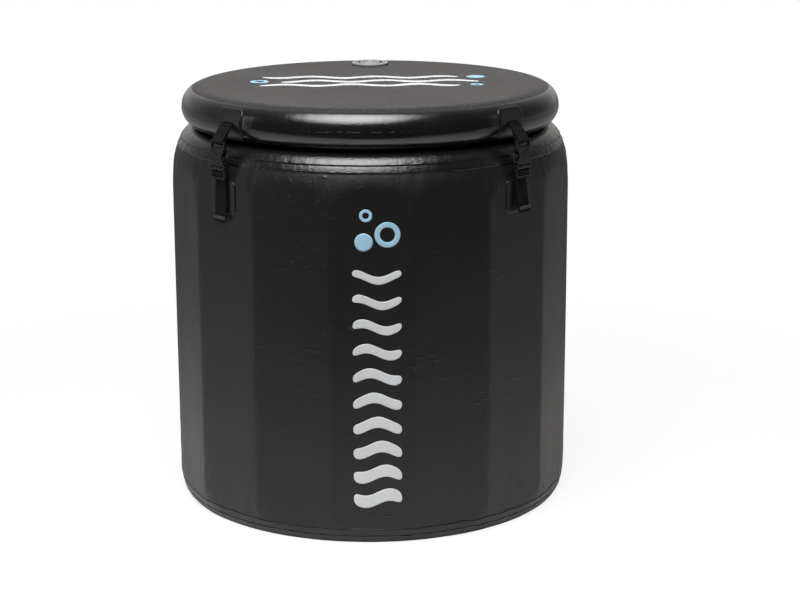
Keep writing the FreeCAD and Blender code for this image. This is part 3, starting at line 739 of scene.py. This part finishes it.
def lidBand(low, high, lift, rows, wobble, seed):
    # a tape round the lid's nose between two angles, lifted off the panel
    theta = np.linspace(0, tau, 480, endpoint=False)
    nearEdge = math.degrees(lid["nearEdge"] / lid["nose"])
    a = np.radians(np.sort(np.append(np.linspace(low, high, rows), [low + nearEdge, high - nearEdge])))
    s = a * lid["nose"]
    edge = bell(s, s[0], lid["tapeEdge"]) + bell(s, s[-1], lid["tapeEdge"])
    wave = swell(theta[None], s[:, None], seed, 26, (40, 190), (-90, 90))
    frayed = swell(theta[None], 0 * s[:, None], seed + 1, 14, (18, 110), (0, 1))
    pressed = np.clip(1.1 + 1.5 * swell(theta[None], 0 * s[:, None], seed + 2, 9, (14, 46), (0, 1)), 0.85, 1)
    reach = lid["nose"] + lift + wobble * (0.3 + 0.7 * edge)[:, None] * (wave - 0.8)
    reach = reach - lid["press"] * pressed * edge[:, None]
    tilt = a[:, None] + edge[:, None] * 0.012 * frayed
    points = aroundAxis(lid["flat"] + reach * np.cos(tilt), lid["middle"] + reach * np.sin(tilt), theta[None])
    return gridPart(points, fullTurn(theta) * lid["radius"], s, False, True)


piece("lidShell", [makeLid()], lidFinish, "lid", ["lid_panel"], True)
for name, low, high, lift, rows, wobble, seed, node in (
        ("lidRimTape", -66, 60, lid["rimTape"], 40, 0.14 * mm, 31, "lid_rim_tape"),
        ("lidCoverTape", -58, 2, lid["coverTape"], 26, 0.16 * mm, 33, "lid_cover_tape")):
    band = lidBand(low, high, lift, rows, wobble, seed)
    thicken(piece(name, [band], lidTapeFinish, "lid", [node]), lid["rimTape"])
print("lid made")


# strap patches

strapAngles = {"front_left": 225.0, "front_right": 315.0, "rear_right": 45.0, "rear_left": 135.0}
patch = {"width": 70 * mm, "corner": 12 * mm, "thick": 1.2 * mm, "sheet": 0.45 * mm, "seam": 0.05 * mm,
         "glue": 0.3 * mm, "onWall": (622 * mm, 687 * mm), "onLid": (-34 * mm, 31 * mm), "lidReach": 3.3 * mm,
         "taper": 0.09}


def patchPart(low, high, carry, degrees):
    # a rounded rectangle, row by row: half width less the corner's arc; carry lays it on the panel
    v = np.concatenate([np.linspace(0, 1, 10) ** 1.5 * 0.2, np.linspace(0.2, 0.8, 12)[1:-1],
                        1 - np.linspace(1, 0, 10) ** 1.5 * 0.2])
    h = low + v * (high - low)
    over = np.clip(np.maximum(low + patch["corner"] - h, h - high + patch["corner"]), 0, patch["corner"])
    half = patch["width"] / 2 - patch["corner"] + np.sqrt(patch["corner"] ** 2 - over ** 2)
    u = np.linspace(-1, 1, 25)
    side = half[:, None] * u[None]
    height = np.repeat(h[:, None], len(u), 1)
    inset = np.minimum(1 - abs(u)[None] * np.ones_like(side), 3 * np.minimum(v, 1 - v)[:, None])
    points = turnedAbout(carry(side, height, inset).reshape(-1, 3), degrees).reshape(len(v), len(u), 3)
    return gridPart(points, u * patch["width"] / 2, h)


def patchRise(inset):
    # a patch is pressed down at the edge and stands on its glue in the middle
    edge = patch["sheet"] + patch["seam"]
    return edge + (patch["glue"] + patch["thick"] - edge) * np.clip(inset / patch["taper"], 0, 1)


def onWall(side, height, inset):
    # side runs along a flat panel, and the patch's rise stands out from it
    return np.stack([tub["flat"] + patchRise(inset), side, height], -1)


def onNose(side, height, inset):
    # height above the lid's middle gives the angle on the nose; side runs round the lid
    reach = lid["nose"] + lid["coverTape"] + patchRise(inset)
    angle = np.arcsin(np.clip(height / (lid["nose"] + patch["lidReach"]), -1, 1))
    r = lid["flat"] + reach * np.cos(angle)
    turn = side / lid["radius"]
    return np.stack([r * np.cos(turn), r * np.sin(turn), lid["middle"] + reach * np.sin(angle)], -1)


for name, span, carry, body, node in (
        ("wallStrapPatches", patch["onWall"], onWall, "tub", "wall_strap_patches"),
        ("lidStrapPatches", patch["onLid"], onNose, "lid", "lid_strap_patches")):
    parts = [patchPart(*span, carry, degrees) for degrees in strapAngles.values()]
    thicken(piece(name, parts, patchFinish, body, [node]), patch["sheet"])
print("patches made")


# webbing

def roundedRun(points, radii, fine=9):
    # straight runs joined by tangent arcs, as points: each corner gives an arc from tangent to tangent
    out = [points[:1]]
    for before, here, after, radius in zip(points, points[1:], points[2:], radii):
        back = (before - here) / np.linalg.norm(before - here)
        ahead = (after - here) / np.linalg.norm(after - here)
        half = math.acos(np.clip(back @ ahead, -1, 1)) / 2
        bisector = (back + ahead) / np.linalg.norm(back + ahead)
        centre = here + bisector * radius / math.sin(half)
        a = here + back * radius / math.tan(half) - centre
        b = here + ahead * radius / math.tan(half) - centre
        t = np.linspace(0, 1, fine)[:, None]
        arc = a * (1 - t) + b * t
        out.append(centre + arc / np.linalg.norm(arc, axis=1)[:, None] * radius)
    out.append(points[-1:])
    return np.concatenate(out)


def evenly(path, step):
    # the same line with its long runs divided, so that it can sway
    s = runLength(path[:, 0], path[:, 1])
    t = np.unique(np.concatenate([s, np.arange(0, s[-1], step)]))
    keep = np.concatenate([[True], np.diff(t) > 1e-5])
    t = t[keep]
    return np.stack([np.interp(t, s, path[:, 0]), np.interp(t, s, path[:, 1])], -1), t


def ribbon(path, s, degrees, sway=None):
    # a flat strap along a line in the (radius, height) plane: a ring with slimmer edges at every point
    ahead = np.gradient(path, axis=0)
    ahead /= np.linalg.norm(ahead, axis=1)[:, None]
    normal = np.stack([-ahead[:, 1], ahead[:, 0]], -1)
    w = np.array([-1.0, -0.97, -0.9, -0.5, 0.0, 0.5, 0.9, 0.97, 1.0])
    thick = np.array([0.35, 0.72, 1.0, 1.0, 1.0, 1.0, 1.0, 0.72, 0.35]) / 2
    across = np.concatenate([w, w[::-1]]) * web["width"] / 2
    off = np.concatenate([thick, -thick[::-1]]) * web["thick"]
    r = path[:, 0, None] + normal[:, 0, None] * off[None]
    z = path[:, 1, None] + normal[:, 1, None] * off[None]
    y = np.repeat(across[None], len(path), 0)
    if sway is not None:
        y = y + sway[:, None]
    points = np.stack([r, y, z], -1)
    points = turnedAbout(points.reshape(-1, 3), degrees).reshape(points.shape)
    turned = np.append(across, across[0])
    body = gridPart(points, turned, s, False, True)
    cols = len(across)
    caps = np.concatenate([stripCap(cols, 0, False), stripCap(cols, len(path) - 1, True)])
    capUv = np.zeros((len(caps), 4, 2))
    return body[0], np.concatenate([body[1], caps]), np.concatenate([body[2], capUv])


def tangentFrom(point, centre, radius, side):
    # where a line from a point touches a circle: the point's angle turned by acos(radius / distance)
    apart = point - centre
    angle = math.atan2(apart[1], apart[0]) - side * math.acos(radius / np.linalg.norm(apart))
    return centre + radius * np.array([math.cos(angle), math.sin(angle)])


def lidStrapPath():
    # from the lid patch down round the socket's bar and up again over itself
    lift = lid["coverTape"] + patch["glue"] + patch["thick"] + web["seat"] + web["thick"] / 2
    reach = lid["nose"] + lift
    top = web["topAngle"]
    begin = np.array([lid["flat"] + reach * math.cos(top), lid["middle"] + reach * math.sin(top)])
    bar = np.array([web["reach"], web["barHeight"]])
    wrap = web["barRadius"] + web["seat"] + web["thick"] / 2
    back = tangentFrom(begin, bar, wrap, -1)
    layer = (back - begin) / np.linalg.norm(back - begin)
    outward = np.array([-layer[1], layer[0]])
    end = begin + layer * web["overlap"] + outward * (web["thick"] + web["seat"])
    front = tangentFrom(end, bar, wrap, 1)
    a0 = math.atan2(*(back - bar)[::-1]) % tau
    a1 = math.atan2(*(front - bar)[::-1]) % tau
    a1 += tau if a1 < a0 else 0
    a = np.linspace(a0, a1, 18)
    turn = bar + wrap * np.stack([np.cos(a), np.sin(a)], -1)
    return np.concatenate([begin[None], turn, end[None]]), layer, outward, end


def tubStrapPath(tailEnd, stand):
    # up from the wall patch, through the ladder's two slots and down as a loose tail with a folded hem
    half = web["thick"] / 2
    sewn = tub["flat"] + patch["glue"] + patch["thick"] + web["seat"] + half
    tail = web["reach"] - web["ladder"] / 2 - web["seat"] - half
    behind = tail - web["thick"] - 2 * web["seat"]
    front = web["reach"] + web["ladder"] / 2 + web["seat"] + half
    hang = sewn + web["thick"] + 2 * web["seat"] + half + stand
    fold = hang + web["hemDeep"]
    low = tailEnd + web["hemLow"]
    points = np.array([(sewn, web["anchor"]), (sewn, web["anchorTop"]), (behind, web["plugLow"]),
                       (behind, web["upper"]), (front, web["upper"]), (front, web["lower"]),
                       (tail, web["lower"]), (hang, low), (fold, low),
                       (fold + web["hemOpen"], tailEnd + web["hem"])])
    radii = [web["sweep"]] * 2 + [web["bend"]] * 4 + [web["hemBend"]] * 2
    return roundedRun(points, radii)


stitch = {"pitch": 3.4 * mm, "half": 1.25 * mm, "sink": 0.35 * mm, "radius": 0.42 * mm, "lift": 0.1 * mm,
          "boxWide": 24 * mm, "lidInset": 2.5 * mm, "lidLong": 11 * mm, "wallLow": 637 * mm,
          "wallLong": 15 * mm}


def stitches(rows, degrees):
    # lockstitches along lines on a strap: small capsules, each a ring swept over its stations
    a = np.linspace(0, tau, 6, endpoint=False)
    station = np.array([-1.0, -0.8, 0.0, 0.8, 1.0])
    girth = np.array([0.0, 0.75, 1.0, 0.75, 0.0])
    parts = []
    for start, end, normal in rows:
        run = end - start
        count = max(int(np.linalg.norm(run) / stitch["pitch"]), 1)
        ahead = run / np.linalg.norm(run)
        side = np.cross(normal, ahead)
        for k in range(count):
            middle = start + run * (k + 0.5) / count
            spine = middle + ahead * station[:, None] * stitch["half"]
            spine = spine - normal * (station ** 2)[:, None] * stitch["sink"]
            ring = (np.cos(a)[:, None] * side + np.sin(a)[:, None] * normal * 0.7) * stitch["radius"]
            points = spine[:, None] + girth[:, None, None] * ring[None]
            points = turnedAbout(points.reshape(-1, 3), degrees).reshape(5, 6, 3)
            parts.append(gridPart(points, np.arange(7) / 7, np.arange(5) / 5, False, True))
    return parts


def boxRows(corner, along, normal):
    # a sewn box with one bar across its middle
    across = np.array([0, stitch["boxWide"], 0])
    b = corner + across
    c = b + along
    d = corner + along
    ends = [(corner, b), (b, c), (c, d), (d, corner), (corner + along / 2, b + along / 2)]
    return [(start, end, normal) for start, end in ends]


for place, degrees in strapAngles.items():
    line, layer, outward, end = lidStrapPath()
    path, s = evenly(line, web["step"])
    piece(place + ".lidWebbing", [ribbon(path, s - 1.0, degrees)], strapFinish, "lid",
          [place + "_lid_webbing"])
    tailEnd, sway, stand = web["tails"][place]
    path, s = evenly(tubStrapPath(tailEnd, stand), web["step"])
    t = np.clip((s - s[-1] + web["swayRun"]) / web["swayRun"], 0, 1)
    piece(place + ".tubWebbing", [ribbon(path, s - s[-1], degrees, sway * t ** 2)], strapFinish, "tub",
          [place + "_tub_webbing"])
    normal = np.array([outward[0], 0, outward[1]])
    down = np.array([layer[0], 0, layer[1]])
    corner = np.array([end[0], -stitch["boxWide"] / 2, end[1]])
    corner = corner + normal * (web["thick"] / 2 + stitch["lift"]) + down * stitch["lidInset"]
    rows = boxRows(corner, down * stitch["lidLong"], normal)
    piece(place + ".lidStitching", stitches(rows, degrees), threadFinish, "lid", weld=True)
    sewn = tub["flat"] + patch["glue"] + patch["thick"] + web["seat"] + web["thick"]
    corner = np.array([sewn + stitch["lift"], -stitch["boxWide"] / 2, stitch["wallLow"]])
    rows = boxRows(corner, np.array([0, 0, stitch["wallLong"]]), np.array([1.0, 0, 0]))
    piece(place + ".wallStitching", stitches(rows, degrees), threadFinish, "tub", weld=True)
print("straps made")


# printed ripples, a plain water motif

ripples = {
    "lift": 0.35 * mm,
    "ink": 0.15 * mm,
    "wallMiddle": 10 * mm,
    "wallWide": 92 * mm,
    "wallCount": 10,
    "wallLow": 92 * mm,
    "wallPitch": 48 * mm,
    "wallThick": 25 * mm,
    "wallRise": 7 * mm,
    "wallDots": [(-24, 590, 17, 0), (20, 604, 24, 14), (-20, 640, 12, 6)],
    "lidWide": 400 * mm,
    "lidThick": 24 * mm,
    "lidRise": 11 * mm,
    "lidBands": [(-20, 75, 0.0), (20, 20, 1.2), (-20, -35, 2.4)],
    "lidDots": [(215, 78, 19, 0), (-222, 18, 19, 10), (212, -36, 13, 6)],
}


def ripplePart(lay, wide, thick, rise, waves, phase):
    # a band along u: middle line rise * sin(waves), slimmer at both ends; lay puts (x, h) on the panel
    u = np.linspace(-1, 1, 97)
    v = np.linspace(-1, 1, 9)
    end = np.sqrt(np.clip(1 - np.abs(u) ** 10, 0, 1))
    x = u * wide / 2
    h = rise * np.sin(u * math.pi * waves + phase) + v[:, None] * end[None] * thick / 2
    return gridPart(lay(np.repeat(x[None], len(v), 0), h), x, v * thick / 2)


def discPart(lay, x, h, radius, hole):
    # a ring or a disc: from the hole's radius to the rim's, round a full turn
    a = np.linspace(0, tau, 49)
    r = np.linspace(hole, radius, 6)[:, None]
    points = lay(x + r * np.cos(a)[None], h + r * np.sin(a)[None])
    return gridPart(points, a * radius, r.ravel(), flip=True)


def layOnWall(x, h):
    # x runs across the front panel: its angle is atan(x / flat), its radius the dressed wall's
    x = x + ripples["wallMiddle"]
    theta = np.arctan2(x, tub["flat"]) - math.pi / 2
    return aroundAxis(wallSide(theta, h, ripples["lift"]), h, theta)


def layOnLid(x, h):
    # flat on the lid's top, following its swell
    return np.stack([x, h, lid["top"] + lidTopSwell(x, h) + ripples["lift"]], -1)


def moved(lay, dx, dh):
    # the same lay, shifted across and along
    return lambda x, h: lay(x + dx, h + dh)


def dots(lay, rows):
    # rows in mm: place across and along, radius and the hole's radius
    return [discPart(lay, x * mm, h * mm, radius * mm, hole * mm) for x, h, radius, hole in rows]


wallBands = [ripplePart(moved(layOnWall, 0.0, ripples["wallLow"] + k * ripples["wallPitch"]),
                        ripples["wallWide"], ripples["wallThick"] * (1 - 0.045 * k), ripples["wallRise"],
                        1, 0.5 * k)
             for k in range(ripples["wallCount"])]
lidBands = [ripplePart(moved(layOnLid, dx * mm, dh * mm), ripples["lidWide"], ripples["lidThick"],
                       ripples["lidRise"], 3, phase)
            for dx, dh, phase in ripples["lidBands"]]
for name, parts, ink, body in (
        ("wallPrintGrey", wallBands, greyInk, "tub"),
        ("wallPrintBlue", dots(layOnWall, ripples["wallDots"]), blueInk, "tub"),
        ("lidPrintGrey", lidBands, greyInk, "lid"),
        ("lidPrintBlue", dots(layOnLid, ripples["lidDots"]), blueInk, "lid")):
    thicken(piece(name, parts, ink, body, weld=True), ripples["ink"])
print("prints made")


# moulded pieces keep their CAD shapes

softEdge = {"width": 0.45 * mm, "segments": 2, "sharp": math.radians(40)}
finishOf = {"buckle": buckleFinish, "prong": buckleFinish, "gasket": sealFinish, "cap_seal": sealFinish,
            "spring": steelFinish, "drain_ball": ballFinish, "drain_seats": ballFinish, "drain": drainFinish,
            "lid_valve": lidValveFinish, "wall_valve": wallValveFinish}
for name, node in nodes.items():
    if node.hide_render:
        continue
    wanted = next(finish for key, finish in finishOf.items() if key in name)
    node.data.materials.clear()
    node.data.materials.append(wanted)
    if wanted is buckleFinish:
        soften = node.modifiers.new("softEdges", "BEVEL")
        soften.width = softEdge["width"]
        soften.segments = softEdge["segments"]
        soften.limit_method = "ANGLE"
        soften.angle_limit = softEdge["sharp"]
print("CAD pieces dressed")


# air valve springs

spring = {"mean": 4.6 * mm, "wire": 0.55 * mm, "turns": 4, "low": -14.15 * mm, "rise": 8.3 * mm,
          "seat": -15 * mm, "keep": 0.48}


def makeSpring(carry):
    # a round wire along a helix, closed at both ends; carry puts (x, y, height) on the valve's axis
    a = np.linspace(0, spring["turns"] * tau, 161)
    b = np.linspace(0, tau, 10, endpoint=False)
    wire = np.full(len(a), spring["wire"])
    wire[[0, -1]] = 0.0
    radius = spring["mean"] + wire[:, None] * np.cos(b)[None]
    height = spring["low"] + spring["rise"] * (a / a[-1])[:, None] + wire[:, None] * np.sin(b)[None]
    points = carry(radius * np.cos(a)[:, None], radius * np.sin(a)[:, None], height)
    return gridPart(points, fullTurn(b) * spring["wire"], a * spring["mean"], False, True, True)


def onLidValve(x, y, h):
    # h runs up along the lid valve's axis
    place = fittings["lidValve"]
    return np.stack([x, y + place[1], h + place[2]], -1)


def onWallValve(x, y, h):
    # h runs out at the back along the wall valve's axis
    place = fittings["wallValve"]
    return np.stack([x, h + place[1], place[2] - y], -1)


lidSeat = (0, fittings["lidValve"][1], fittings["lidValve"][2] + spring["seat"])
wallSeat = (0, fittings["wallValve"][1] + spring["seat"], fittings["wallValve"][2])
made = piece("lidValveSpring", [makeSpring(onLidValve)], steelFinish, "lid",
             ["lid_valve_spring"], True)
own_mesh(made)
made = piece("wallValveSpring", [makeSpring(onWallValve)], steelFinish, "tub",
             ["wall_valve_spring"], True)
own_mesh(made)
print("valve springs made")


# hose thread on the drain's spout

thread = {"radius": 13.1 * mm, "start": 443 * mm, "end": 456 * mm, "pitch": 2.2 * mm, "depth": 0.75 * mm}


def makeThread():
    # a ridge with sloped flanks wound along the spout, fading at both ends
    turns = (thread["end"] - thread["start"]) / thread["pitch"]
    a = np.linspace(0, turns * tau, int(turns * 48))
    fade = np.clip(np.minimum(a, a[-1] - a) / 1.2, 0, 1)
    offset = np.array([-0.46, -0.18, 0.18, 0.46])[:, None] * thread["pitch"]
    rise = np.array([-0.2, 1.0, 1.0, -0.2])[:, None] * thread["depth"] * fade[None]
    radius = thread["radius"] + rise
    y = thread["start"] + a[None] / tau * thread["pitch"] + offset
    points = np.stack([radius * np.cos(a), y, fittings["drain"][2] + radius * np.sin(a)], -1)
    return gridPart(points, a * thread["radius"], np.append(offset, 2 * offset[-1]), True)


piece("drainThread", [makeThread()], drainFinish, "tub")
print("drain thread made")


# stage, lamps and camera

# floorNear and floorFar are the colours of the floor's painted pool of light, near the tub and far off
stage = {"floorNear": 0.96, "floorFar": 0.38, "floorFront": -1.2, "floorWide": 40, "floorBack": 60,
         "nearEdge": 0.55, "farEdge": 1.9, "white": 1.03, "whitenNear": 0.84, "whitenFar": 0.97,
         "glossyShare": 0.22, "worldFront": 0.04, "worldBack": 0.70, "worldLeft": 0.28, "worldRight": 0.16}

# place, aim, width, height, power and how much the face dims towards its sides and ends
lamps = {
    "keySoftbox": ((-0.32, -1.27, 3.02), (0.01, -0.37, 0.8), 2.65, 2.75, 265.0, (0.85, 0.75)),
    "leftStrip": ((-3.0, -0.4, 1.3), (0, 0, 0.5), 0.8, 2.2, 5.0, (0.0, 0.0)),
    "rightStrip": ((3.0, -0.2, 1.3), (0, 0, 0.5), 0.8, 2.2, 2.5, (0.0, 0.0)),
}

# the angles are in degrees from looking straight down
photoView = {"lens": 90.84, "sensor": 36.0, "place": (0.0, -4.0205, 1.3992),
             "angles": (90 - 14.213, 0.15, -0.871)}


def makeFloorStage():
    # white to the camera; to the object, a floor with a painted pool of light round the tub that falls off
    # with distance
    mesh = bpy.data.meshes.new("studioFloor")
    front = stage["floorFront"]
    back = stage["floorBack"]
    wide = stage["floorWide"]
    corners = [(-wide, front, 0), (wide, front, 0), (wide, back, 0), (-wide, back, 0)]
    mesh.from_pydata(corners, [], [(0, 1, 2, 3)])
    f = Finish("studioFloor")
    outs = f.node("ShaderNodeLightPath").socket.node.outputs
    seen = Wire(f, outs["Is Camera Ray"]) + Wire(f, outs["Is Glossy Ray"]) * stage["glossyShare"]
    seen = seen + Wire(f, outs["Is Transmission Ray"])
    x, y = f.split(f.place())[:2]
    # painted pool of light: the floor's colour is bright round the tub and darker further out
    paintedPoolRamp = f.eased((x * x + y * y) ** 0.5, stage["nearEdge"], stage["farEdge"])
    shade = f.node("ShaderNodeBsdfDiffuse",
                   inputs={"Color": f.mixed(paintedPoolRamp, warm(stage["floorNear"]), warm(stage["floorFar"]))})
    white = f.node("ShaderNodeEmission", inputs={"Color": grey(1.0), "Strength": stage["white"]})
    whiten = paintedPoolRamp * (stage["whitenFar"] - stage["whitenNear"]) + stage["whitenNear"]
    mix = f.node("ShaderNodeMixShader", inputs={0: seen * whiten, 1: shade, 2: white})
    f.tree.links.new(mix.socket, f.tree.nodes["Material Output"].inputs["Surface"])
    mesh.materials.append(f.material)
    made = bpy.data.objects.new("studioFloor", mesh)
    bpy.context.scene.collection.objects.link(made)


def areaLamp(name, place, aim, wide, tall, power, fade):
    # a softbox whose face dims with the square of the distance from its middle
    lamp = bpy.data.lights.new(name, "AREA")
    f = Finish(name, lamp, "Emission")
    u, v = f.split(f.node("ShaderNodeNewGeometry", output="Parametric"))[:2]
    sides = (u * 2 - 1) * (u * 2 - 1)
    ends = (v * 2 - 1) * (v * 2 - 1)
    f.surface(Strength=(1 - sides * fade[0] - ends * fade[1]).atLeast(0.03))
    lamp.shape = "RECTANGLE"
    lamp.size = wide
    lamp.size_y = tall
    lamp.energy = power
    made = bpy.data.objects.new(name, lamp)
    bpy.context.scene.collection.objects.link(made)
    made.location = place
    direction = made.location - type(made.location)(aim)
    made.rotation_euler = direction.to_track_quat("Z", "Y").to_euler()


def makeWorld():
    # white where the camera looks; to the lit object, a pale sweep behind and a dark room in front
    f = Finish("studio", bpy.data.worlds.new("studio"), "Background")
    x, y = f.split(f.node("ShaderNodeTexCoord", output="Generated"))[:2]
    sweep = f.eased(y, -0.3, 0.8)
    back = stage["worldBack"]
    for across, dim in ((x, stage["worldRight"]), (0 - x, stage["worldLeft"])):
        back = back - f.eased(across, 0.25, 0.85, stage["worldBack"] - dim)
    level = sweep * (back - stage["worldFront"]) + stage["worldFront"]
    seen = Wire(f, f.node("ShaderNodeLightPath").socket.node.outputs["Is Camera Ray"])
    tint = f.mixed(seen, warm(1.0), grey(1.0))
    bpy.context.scene.world = f.surface(Color=tint, Strength=level * (1 - seen) + seen)


makeFloorStage()
makeWorld()
for name, settings in lamps.items():
    areaLamp(name, *settings)

camera = bpy.data.cameras.new("photoCamera")
camera.lens = photoView["lens"]
camera.sensor_width = photoView["sensor"]
cameraObject = bpy.data.objects.new("photoCamera", camera)
bpy.context.scene.collection.objects.link(cameraObject)
cameraObject.location = photoView["place"]
cameraObject.rotation_euler = [math.radians(angle) for angle in photoView["angles"]]
bpy.context.scene.camera = cameraObject
bpy.context.scene.view_settings.view_transform = "Standard"
print("stage set")
